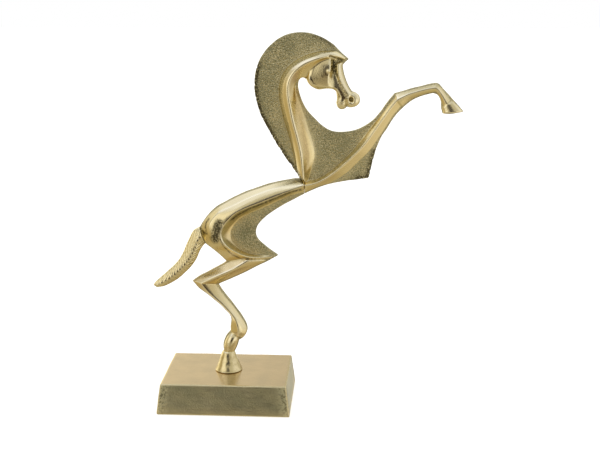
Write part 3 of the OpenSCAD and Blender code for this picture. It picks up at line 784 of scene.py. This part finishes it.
def stand_in(name, node, material, points, faces, flat=0):
    """A piece that stands for a CAD node and fills its box. Its points are in mm."""
    low, high = (np.array(c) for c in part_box(node))
    a, b = points.min(0), points.max(0)
    piece = mesh_object(name, low + (points - a) / (b - a) * (high - low), faces, flat)
    piece.data.materials.append(MATERIALS[material])
    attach(piece, "root")
    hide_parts(node)
    return piece


def keep_values(piece, name, values):
    """Keeps one number at each point of a mesh, for its material."""
    layer = piece.data.attributes.new(name, "FLOAT", "POINT")
    layer.data.foreach_set("value", values.astype(np.float32))


def cast(name, node, relief, seam, step=MESH_STEP):
    """One casting: its mesh, fitted to its CAD node, with its looks kept on it."""
    points, faces = skin(relief, seam, step)
    piece = stand_in(name, node, "casting", points, faces)
    for layer, grid in relief.looks().items():
        keep_values(piece, layer, sample(relief, grid, points[:, 0], points[:, 2]))


# ---------------------------------------------------------------- the castings

def forehand_seam(x, z):
    return np.minimum(WITHERS_X - x, WITHERS_Z - z)


def tail_side(x, z):
    """How far a place is on the tail's side of the seam at the tail's root."""
    dx, dz = x - TAIL_SEAM[0], z - TAIL_SEAM[1]
    return -(dx * math.cos(TAIL_SEAM_LEAN) + dz * math.sin(TAIL_SEAM_LEAN))


def hind_seam(x, z):
    at_tail = np.where(np.abs(z - TAIL_SEAM[1]) < TAIL_SEAM_REACH, tail_side(x, z), FAR_BELOW)
    return np.maximum(np.maximum(x - WITHERS_X, at_tail), PASTERN_Z - z)


def head(relief):
    """Nose, jaw, chin, muzzle and cheek, with the eye, nostril and mouth."""
    relief.add_limb(NOSE, ("flat", "flat", "hollow"), 0.3, 0.8)
    relief.add_limb(JAW, ("flat", "swell"), 1.2, 0.6)
    relief.add(relief.dome(**CHIN), 1.4, 0.6)
    relief.add(relief.dome(**MUZZLE), 1.2, 0.8)
    relief.add_limb(CHEEK, ("round", "swell", "flat"), 0.25, 0.8)
    relief.soften(0.3)
    relief.bead(CHEEK_RIM, 0.45, 0.2)
    relief.groove(JAW_RIM, 0.5, -0.15)
    relief.press(NOSTRIL, (1.1, 1.6), 10, 3.0)
    relief.groove(MOUTH, 0.5, 0.4)
    relief.groove(BROW_GAP, 0.5, 1.4)
    relief.press(EYE, (1.9, 1.4), -20, 0.1)
    relief.press(EYE, (1.1, 0.9), -20, -0.7)
    relief.press(NOSTRIL_BAR, (0.6, 1.7), 10, -0.6)
    # Painted shade in the cheek's hollow, the brow gap and the nostril.
    relief.darken(CHEEK_HOLLOW, 0.9, 0.95)
    relief.leave_rough(JAW_CREASE, 1.3, 0.45)
    relief.darken(BROW_GAP, 0.5, 0.8)
    relief.darken([NOSTRIL, NOSTRIL], 1.0, 0.9)


def forehand():
    """Mane plate, neck, head, chest plates and foreleg."""
    relief = Relief(outline_points(FOREHAND_OUTLINE))
    relief.half[:] = PLATE
    relief.add_limb(NECK, ("round", "swell", "hollow"), 0.3)
    relief.add_limb(SHOULDER, ("hollow", "flat"), 0.3)
    relief.add_limb(FOREARM, ("flat", "bow"), 0.4)
    relief.add_limb(FORE_HOOF, ("round", "round"), 0.4)
    relief.bead(NECK_FOOT, 1.3, 0.4)
    relief.bead(NECK_RIM, 0.5, 0.5)
    head(relief)
    # Painted brown reflections along the neck's keel, its hollow and the shoulder's keel.
    relief.tan(ridge(NECK)[2:], 3.0, 0.5)
    relief.tan(NECK_HOLLOW, 2.8, 0.9)
    # Painted shade along the neck's hollow.
    relief.darken(NECK_HOLLOW, 2.4, 0.22)
    relief.tan(ridge(SHOULDER), 2.2, 0.3)
    relief.leave_rough(MANE_MARGIN, 2.8)
    relief.leave_rough(CHEST_CORNER, 3.2, 0.9)
    # Painted shade along the mane's top edge.
    relief.darken(MANE_SHADE, 1.5, 0.6)
    relief.weather()
    relief.true_up(WITHERS_SEAM)
    cast("horse_forehand", "forehand_casting", relief, forehand_seam)


def hindquarters():
    """Back, rump, flank plate, thigh, gaskin, cannon and pastern."""
    relief = Relief(outline_points(HIND_OUTLINE))
    relief.half[:] = FLANK
    relief.add_limb(BACK, ("flat", "swell", "hollow"), 0.3)
    relief.add_limb(GASKIN, ("flat", "bow"), 0.3)
    relief.add_limb(HIND_CANNON, ("flat", "swell"), 0.3)
    relief.add_limb(PASTERN, ("round", "round"), 0.3)
    relief.soften(0.22)
    relief.leave_rough(RUMP_PATCH, 3.9)
    # Dirt in the rough rump patch, then painted shade along the rump, flank and thigh lines.
    relief.darken(RUMP_PATCH, 2.6, 0.8)
    relief.darken(RUMP_LINE, 0.6, 0.9)
    relief.darken(FLANK_LINE, 0.9, 0.95)
    relief.darken(THIGH_LINE, 0.6, 0.8)
    # Painted brown reflections on the flank and gaskin.
    relief.tan(FLANK_BROWN, 2.6, 0.5)
    relief.tan(ridge(GASKIN), 7.0, 0.6)
    relief.weather()
    relief.true_up(WITHERS_SEAM)
    cast("horse_hindquarters", "hindquarters_casting", relief, hind_seam)


def tail():
    """The tail, with its hair cut in slanting strokes."""
    relief = Relief(limb_outline(TAIL))
    relief.add_limb(TAIL, ("bow", "bow"), 0.4)
    relief.soften(0.22)
    from_keel = relief.distance(smooth(ridge(TAIL), 6), 9.0)
    slant = 1.5 * from_keel - 0.5 * relief.gx - 0.8 * relief.gz + 0.4 * relief.pebbles(4.0)
    cut = np.maximum(np.sin(2 * math.pi * slant / HAIR_PERIOD), -0.6)
    relief.half = relief.half + 0.10 * cut + 0.03 * relief.pebbles(0.8)
    # Painted shade in the hair cuts.
    relief.darkening = np.maximum(relief.darkening, 0.12 * ease(-cut, 0.1, 0.5))
    relief.polish[:] = 0.9
    relief.weather(grain=0.0)
    cast("horse_tail", "tail_casting", relief, lambda x, z: -tail_side(x, z), 0.75 * MESH_STEP)


def hoof():
    """The turned hoof that the pastern stands in, with a hole for its stud."""
    low, high = node_box("hind_hoof")
    wide, tall = (high[0] - low[0]) / 2, high[2] - low[2]
    hole = pin_in("mounting_stud")[1]
    side = smooth([
        [wide - 0.5, 0.0], [wide, 0.45], [wide - 0.25, 0.95], [wide - 0.8, 2.2], [wide - 2.05, 5.4],
        [wide - 3.35, 8.8], [wide - 4.4, 11.8], [wide - 4.85, 12.5], [wide - 5.3, tall],
    ], 6)
    profile = np.concatenate([[[hole, 0.0]], side, [[hole, tall]]])
    turns = 120
    angle = np.arange(turns) * 2 * math.pi / turns
    rings = []
    for radius, height in profile:
        hammered = 0.03 * np.sin(5 * angle + height) + 0.02 * np.sin(9 * angle - 1.3 * height)
        ring = radius + (hammered if 1.0 < height < tall - 0.8 and radius > hole else 0)
        rings.append(np.stack([ring * np.cos(angle), ring * np.sin(angle), 0 * angle + height], axis=1))
    faces = bands(len(rings), turns, closed=True)
    stand_in("hind_hoof_turned", "hind_hoof", "mirror", np.concatenate(rings), faces)


def plinth():
    """The hollow plinth: leaning sides, softly rounded and slightly uneven edges, a boss and a recess."""
    low, high = node_box("plinth")
    board = node_box("backing_board")[1]
    boss_foot = node_box("flat_washer")[1][2]
    pin_top_gap = node_box("locating_pin")[0][2] - RECESS_GAP
    (stud_x, stud_hole), (pin_x, pin_hole) = pin_in("mounting_stud"), pin_in("locating_pin")
    length, depth = high[0] - low[0], high[1] - low[1]
    slope = PLINTH_LEAN / high[2]
    level_out = math.cos(math.atan(slope))

    def planes(p):
        """How far each point is out of the ends, the sides, the top and the foot."""
        x, y, z = p.T
        wave = 0.05 * np.sin(x / 7.3 + 1) * np.sin(y / 9.1 + z / 5)
        wave = wave + 0.04 * np.sin(x / 3.1 + y / 4.3 + z / 2)
        above_foot = z > low[2] + 1
        return (
            (np.abs(x) - length / 2 + slope * z) * level_out + wave * above_foot,
            (np.abs(y) - depth / 2 + slope * z) * level_out + wave * above_foot,
            z - high[2] + 0.6 * wave * np.clip((np.hypot(x - stud_x, y) - 10) / 4, 0, 1),
            low[2] - z,
        )

    def level(p):
        x, y, z = p.T
        q = np.stack(planes(p)) + PLINTH_EDGE
        outer = np.minimum(q.max(0), 0) + np.linalg.norm(np.maximum(q, 0), axis=0) - PLINTH_EDGE
        from_stud = np.hypot(x - stud_x, y)
        boss = np.maximum(from_stud - BOSS_RADIUS, boss_foot - z)
        inner = np.maximum(np.maximum(q[0], q[1]) - PLINTH_EDGE + PLINTH_WALL, z - high[2] + PLINTH_TOP)
        inner = np.maximum(inner, -boss)
        recess = np.maximum(np.abs(x) - board[0] - RECESS_GAP, np.abs(y) - board[1] - RECESS_GAP)
        recess = np.maximum(recess, z - board[2])
        pin = np.maximum(np.hypot(x - pin_x, y) - pin_hole, pin_top_gap - z)
        return np.maximum.reduce([outer, -inner, -recess, stud_hole - from_stud, -pin])

    step = 0.6
    axes = [np.arange(a - 1.43 * step, b + 1.5 * step, step) for a, b in zip(low, high)]
    grid = np.stack(np.meshgrid(*axes, indexing="ij"), axis=-1)
    values = level(grid.reshape(-1, 3)).reshape(grid.shape[:3])
    points, faces = settled(values, [a[0] for a in axes], step, level)
    piece = stand_in("plinth_cast", "plinth", "plinth", points, faces)
    end, side, top, _ = planes(points)
    keep_values(piece, "edge", ease(np.sort([end, side, top], axis=0)[1], -1.6, -0.1))
    keep_values(piece, "corner", ease(np.minimum(end, side), -9.0, -1.0) * (points[:, 2] < high[2] - 1))


def felt():
    """The felt foot: one cut sheet with soft edges, rounded corners and a slightly wavy cut."""
    low, high = node_box("felt_sheet")
    half_x, half_y, half_z = (high - low) / 2
    quarter = np.linspace(0, 1, 12)

    def ring(inset, height):
        radius = FELT_CORNER - inset
        sides = []
        for turn, (sx, sy) in enumerate(((1, 1), (-1, 1), (-1, -1), (1, -1))):
            angle = (turn + quarter) * math.pi / 2
            middle = np.array([sx * (half_x - FELT_CORNER), sy * (half_y - FELT_CORNER)])
            sides.append(middle + radius * np.stack([np.cos(angle), np.sin(angle)], axis=1))
        closed = np.concatenate(sides + [sides[0][:1]])
        steps = [max(int(np.hypot(*(b - a)) / FELT_POINTS), 1) for a, b in zip(closed, closed[1:])]
        flat = np.concatenate([
            np.linspace(a, b, n, endpoint=False) for a, b, n in zip(closed, closed[1:], steps)
        ])
        wave = 0.05 * np.sin(flat[:, 0] * 1.7) * np.cos(flat[:, 1] * 2.3)
        return np.column_stack([flat * (1 - wave[:, None] / half_y), np.full(len(flat), height)])

    over_edge = np.linspace(0.0, math.pi, 7)
    rings = [ring(FELT_EDGE * (1 - math.sin(t)), half_z * (1 - math.cos(t))) for t in over_edge]
    around, last = len(rings[0]), (len(rings) - 1) * len(rings[0])
    faces = bands(len(rings), around, closed=False)
    faces += [list(range(around))[::-1], list(range(last, last + around))]
    piece = stand_in("felt_foot", "felt_sheet", "felt", np.concatenate(rings), faces, flat=2)


# ---------------------------------------------------------------- materials

class Nodes:
    """A node tree in the making. Each call adds a node, and returns one of its outputs."""

    def __init__(self, tree):
        self.tree = tree

    def feed(self, socket, value):
        """Links a socket to an output, or sets it to a number or colour."""
        if isinstance(value, bpy.types.NodeSocket):
            self.tree.links.new(value, socket)
        else:
            socket.default_value = (*value, 1) if socket.type == "RGBA" else value

    def add(self, kind, inputs=None, output=0, **settings):
        node = self.tree.nodes.new("ShaderNode" + kind)
        for name, value in settings.items():
            setattr(node, name, value)
        for name, value in (inputs or {}).items():
            self.feed(node.inputs[name], value)
        return node.outputs[output]


class Paint(Nodes):
    """A material. Its patterns lie in the object's own space, and their sizes are in mm."""

    def __init__(self, name, metallic=1.0):
        self.material = bpy.data.materials.new(name)
        self.material.use_nodes = True
        super().__init__(self.material.node_tree)
        self.bsdf = self.tree.nodes["Principled BSDF"]
        self.bsdf.inputs["Metallic"].default_value = metallic
        self.place = self.add("TexCoord", output="Object")

    def layer(self, name):
        """A value that was kept at each point of the mesh."""
        return self.add("Attribute", output="Fac", attribute_name=name)

    def noise(self, size, detail, place=None):
        """A noise pattern whose features are about this size."""
        inputs = {"Scale": 1 / (size * MM), "Detail": detail, "Vector": place or self.place}
        return self.add("TexNoise", inputs)

    def streaks(self, scale, turn, size, detail):
        """A noise pattern that is stretched along X and turned about Z."""
        inputs = {"Vector": self.place, "Scale": scale, "Rotation": (0, 0, turn)}
        return self.noise(size, detail, self.add("Mapping", inputs))

    def span(self, value, low, high, to_low, to_high):
        """A value moved from one range to another, and kept inside it."""
        return self.add("MapRange", {"Value": value, 1: low, 2: high, 3: to_low, 4: to_high})

    def math(self, a, b, operation):
        return self.add("Math", {0: a, 1: b}, operation=operation)

    plus = partialmethod(math, operation="ADD")
    minus = partialmethod(math, operation="SUBTRACT")
    times = partialmethod(math, operation="MULTIPLY")
    greater = partialmethod(math, operation="MAXIMUM")

    def mix(self, share, low, high):
        """A colour between two colours."""
        return self.add("Mix", {0: share, 6: low, 7: high}, 2, data_type="RGBA")

    def bump(self, height, strength, depth, under=None):
        inputs = {"Height": height, "Strength": strength, "Distance": depth * MM}
        return self.add("Bump", inputs if under is None else {**inputs, "Normal": under})

    def finished(self, colour, roughness, normal):
        for name, output in (("Base Color", colour), ("Roughness", roughness), ("Normal", normal)):
            self.feed(self.bsdf.inputs[name], output)
        return self.material


def casting_brass():
    """Brass: sand-cast grain and dull patches where it was never polished, a finer satin where it was."""
    paint = Paint("casting_brass")
    polish, wear_and_highlight, pitting, darkening, brown, unbuffed_shade = map(
        paint.layer, ("polish", "wear_and_highlight", "pitting", "darkening", "brown", "unbuffed_shade")
    )
    grain, specks = paint.noise(0.8, 3.0), paint.noise(1.3, 4.0)
    patches, peppered = paint.noise(9.0, 5.0), paint.noise(0.75, 1.0)

    cloudy = paint.span(patches, 0.38, 0.62, -0.1, 0.2)
    speckled = paint.span(peppered, 0.38, 0.62, 1.15, 0.3)
    dull = paint.times(paint.plus(cloudy, speckled), paint.minus(1.0, polish))
    # Plates far from the limbs turn darker and olive: an unbuffed tone and painted shade.
    colour = paint.mix(dull, BRASS, paint.mix(unbuffed_shade, DULL_BRASS, UNBUFFED_SHADED_BRASS))
    # Painted brown reflection of warm surroundings.
    colour = paint.mix(brown, colour, PAINTED_BROWN_REFLECTION)
    # Ridges are mixed towards pale gold: partly polish, partly a painted highlight.
    colour = paint.mix(paint.span(wear_and_highlight, 0.12, 0.8, 0, 0.7), colour, POLISH_AND_HIGHLIGHT)
    pits = paint.times(paint.span(specks, 0.60, 0.50, 0, 1), pitting)
    crease = paint.span(wear_and_highlight, -0.6, -1.0, 0, 0.25)
    # Painted shade in hollows and dark reflections, broken up by specks, with dirt in the rough rump patch.
    broken = paint.times(darkening, paint.span(specks, 0.45, 0.62, 1.0, 0.35))
    # Pits and crease dirt, with the painted shade, darken the colour.
    dirt_and_shade = paint.greater(paint.greater(paint.times(pits, 0.9), crease), broken)
    colour = paint.mix(dirt_and_shade, colour, DIRT_AND_SHADE)

    rough = paint.plus(paint.span(polish, 0, 1, 0.34, 0.16), paint.span(patches, 0.3, 0.7, -0.05, 0.05))
    normal = paint.bump(grain, paint.span(polish, 0, 0.8, 1.0, 0.05), 1.3)
    return paint.finished(colour, rough, paint.bump(specks, pitting, 0.5, normal))


def mirror_brass():
    """The hoof's bright finish, with a faint stain and small hammered dents."""
    paint = Paint("mirror_brass")
    dents, darkening = paint.noise(1.6, 1.0), paint.noise(3.0, 3.0)
    colour = paint.mix(paint.span(darkening, 0.42, 0.64, 0.1, 0.5), BRASS, HOOF_STAIN)
    return paint.finished(colour, paint.span(darkening, 0.35, 0.7, 0.07, 0.16), paint.bump(dents, 0.3, 0.25))


def plinth_brass():
    """A satin top with fine rubbing marks, sides in their cast skin, and edges worn bright."""
    paint = Paint("plinth_brass")
    edge, corner = paint.layer("edge"), paint.layer("corner")
    up = paint.add("SeparateXYZ", {0: paint.add("NewGeometry", output="True Normal")}, "Z")
    height = paint.add("SeparateXYZ", {0: paint.place}, "Z")
    side = paint.minus(1.0, paint.span(up, 0.5, 0.9, 0, 1))
    grain, specks, patches = paint.noise(0.9, 3.0), paint.noise(1.5, 3.0), paint.noise(14.0, 5.0)
    rubs = paint.streaks((0.12, 1.6, 1.0), 0.12, 1.2, 4.0)

    colour = paint.mix(paint.span(patches, 0.35, 0.65, 0, 0.8), PLINTH_TOP_A, PLINTH_TOP_B)
    cast_skin = paint.mix(paint.span(patches, 0.35, 0.65, 0, 1), PLINTH_SIDE_A, PLINTH_SIDE_B)
    colour = paint.mix(side, colour, cast_skin)
    colour = paint.mix(paint.times(paint.span(specks, 0.50, 0.42, 0, 0.6), corner), colour, DIRT_AND_SHADE)
    # The sides turn towards plain brass near the foot.
    lighter_towards_foot = paint.times(side, paint.span(height, 6.5 * MM, 2 * MM, 0, 0.5))
    colour = paint.mix(lighter_towards_foot, colour, BRASS)
    colour = paint.mix(paint.times(edge, 0.8), colour, BRASS)

    rough = paint.plus(paint.span(side, 0, 1, 0.22, 0.34), paint.span(rubs, 0.3, 0.7, -0.05, 0.05))
    rough_skin = paint.times(side, paint.span(corner, 0, 1, 0.35, 1.0))
    return paint.finished(colour, rough, paint.bump(grain, rough_skin, 0.6, paint.bump(rubs, 0.35, 0.06)))


def zinc_steel():
    """Zinc plate: a faint cloudy stain and fine pits."""
    paint = Paint("zinc_steel")
    cloud, pits = paint.noise(2.5, 4.0), paint.noise(0.3, 2.0)
    colour = paint.mix(paint.span(cloud, 0.35, 0.65, 0, 1), ZINC, ZINC_STAIN)
    return paint.finished(colour, paint.span(cloud, 0.3, 0.7, 0.24, 0.42), paint.bump(pits, 0.4, 0.05))


def drawn_brass():
    """Rod brass: fine lines along the rod, and dark brown spots."""
    paint = Paint("drawn_brass")
    lines, spots = paint.streaks((0.08, 1.0, 1.0), 0, 0.25, 3.0), paint.noise(1.4, 3.0)
    colour = paint.mix(paint.span(spots, 0.5, 0.7, 0, 1), PIN_BRASS, PIN_STAIN)
    return paint.finished(colour, paint.span(lines, 0.3, 0.7, 0.18, 0.38), paint.bump(lines, 0.5, 0.04))


def hardboard():
    """Pressed board: matted fibres in two browns under a smooth hard face."""
    paint = Paint("hardboard", metallic=0.0)
    fibres, clumps = paint.noise(0.7, 6.0), paint.noise(5.0, 3.0)
    mixed = paint.plus(paint.span(fibres, 0.35, 0.65, 0, 0.6), paint.span(clumps, 0.4, 0.6, 0, 0.4))
    rough = paint.span(clumps, 0.3, 0.7, 0.45, 0.65)
    return paint.finished(paint.mix(mixed, BOARD, BOARD_FIBRE), rough, paint.bump(fibres, 0.5, 0.12))


def wool_felt():
    """Wool felt: matted pale and dark fibres with a soft nap."""
    paint = Paint("wool_felt", metallic=0.0)
    fibres, nap = paint.noise(0.35, 5.0), paint.noise(3.0, 3.0)
    for name, value in (("Sheen Weight", 0.4), ("Sheen Roughness", 0.6), ("Specular IOR Level", 0.15)):
        paint.bsdf.inputs[name].default_value = value
    colour = paint.mix(paint.span(fibres, 0.4, 0.7, 0, 1), FELT, FELT_FIBRE)
    return paint.finished(colour, paint.span(nap, 0.3, 0.7, 0.88, 1.0), paint.bump(fibres, 0.8, 0.2))


MATERIALS = {
    "casting": casting_brass(),
    "mirror": mirror_brass(),
    "plinth": plinth_brass(),
    "felt": wool_felt(),
}
CARRIED_OVER = {
    zinc_steel: ("mounting_stud", "locating_pin", "flat_washer", "lock_washer", "hex_nut"),
    drawn_brass: ("withers_dowels", "tail_dowel"),
    hardboard: ("backing_board",),
}


def finish_cad_nodes():
    """Gives the CAD's own nodes their materials."""
    for make, names in CARRIED_OVER.items():
        material = make()
        for name in names:
            mesh = frame["nodes"][name].data
            mesh.materials.clear()
            mesh.materials.append(material)


# ---------------------------------------------------------------- studio

def glow(nodes, direction, place, angles, colour):
    """A round soft light in the sky: full inside one angle from its middle, and nothing past another."""
    bearing, height = (math.radians(angle) for angle in place)
    inner, outer = (math.cos(math.radians(angle)) for angle in angles)
    flat = math.cos(height)
    middle = (math.sin(bearing) * flat, -math.cos(bearing) * flat, math.sin(height))
    dot = nodes.add("VectorMath", {0: direction, 1: middle}, "Value", operation="DOT_PRODUCT")
    limits = {"Value": dot, "From Min": outer, "From Max": inner}
    fade = nodes.add("MapRange", limits, interpolation_type="SMOOTHSTEP")
    return nodes.add("VectorMath", {0: colour, "Scale": fade}, operation="SCALE")


def world():
    """A sky with soft lights all round, darker where the camera stands, and plain white to the camera."""
    studio_world = bpy.data.worlds.new("studio")
    bpy.context.scene.world = studio_world
    studio_world.use_nodes = True
    nodes = Nodes(studio_world.node_tree)
    nodes.tree.nodes.clear()
    direction = nodes.add("TexCoord", output="Generated")
    height = nodes.add("SeparateXYZ", {0: direction}, "Z")
    total = nodes.add("ValToRGB", {0: nodes.add("MapRange", {"Value": height, "From Min": -1.0})})
    stops = total.node.color_ramp.elements
    for _ in SKY[2:]:
        stops.new(0.5)
    for stop, (level, colour) in zip(stops, SKY):
        stop.position = (level + 1) / 2
        stop.color = (*colour, 1)
    for light in GLOWS:
        total = nodes.add("VectorMath", {0: total, 1: glow(nodes, direction, *light)})
    lights, white = nodes.add("Background", {0: total}), nodes.add("Background", {0: WHITE})
    seen = nodes.add("LightPath", output="Is Camera Ray")
    out = nodes.tree.nodes.new("ShaderNodeOutputWorld")
    nodes.feed(out.inputs[0], nodes.add("MixShader", {0: seen, 1: lights, 2: white}))


def floor():
    """White to the camera where nothing shades it, pale warm grey to other light, and not in reflections."""
    r = FLOOR_REACH
    sheet = mesh_object("floor", np.array([(-r, -r, 0), (r, -r, 0), (r, r, 0), (-r, r, 0)]), [(0, 1, 2, 3)])
    paint = Paint("floor")
    lift = paint.add("Emission", {"Strength": FLOOR_LIFT})
    white = paint.add("AddShader", {0: paint.add("BsdfDiffuse", {0: WHITE}), 1: lift})
    bounced = paint.add("BsdfDiffuse", {0: FLOOR_BOUNCE})
    seen = paint.add("LightPath", output="Is Camera Ray")
    either = paint.add("MixShader", {0: seen, 1: bounced, 2: white})
    paint.feed(paint.tree.nodes["Material Output"].inputs["Surface"], either)
    sheet.data.materials.append(paint.material)
    sheet.visible_glossy = False


def camera():
    """At the photograph's height, distance and angle."""
    low, high = CAD_BOUNDS
    data = bpy.data.cameras.new("camera")
    data.sensor_width = SENSOR_MM
    data.lens = LENS_MM
    eye = bpy.data.objects.new("camera", data)
    bpy.context.collection.objects.link(eye)
    eye.location = (Vector(low) + Vector(high)) / 2 + Vector(EYE_FROM_MIDDLE)
    eye.rotation_euler = (math.pi / 2 - LOOKS_DOWN, 0, LOOKS_LEFT)
    bpy.context.scene.camera = eye


camera()
world()
bpy.context.scene.view_settings.view_transform = "Standard"
floor()
forehand()
hindquarters()
tail()
hoof()
plinth()
felt()
finish_cad_nodes()

bpy.context.view_layer.update()
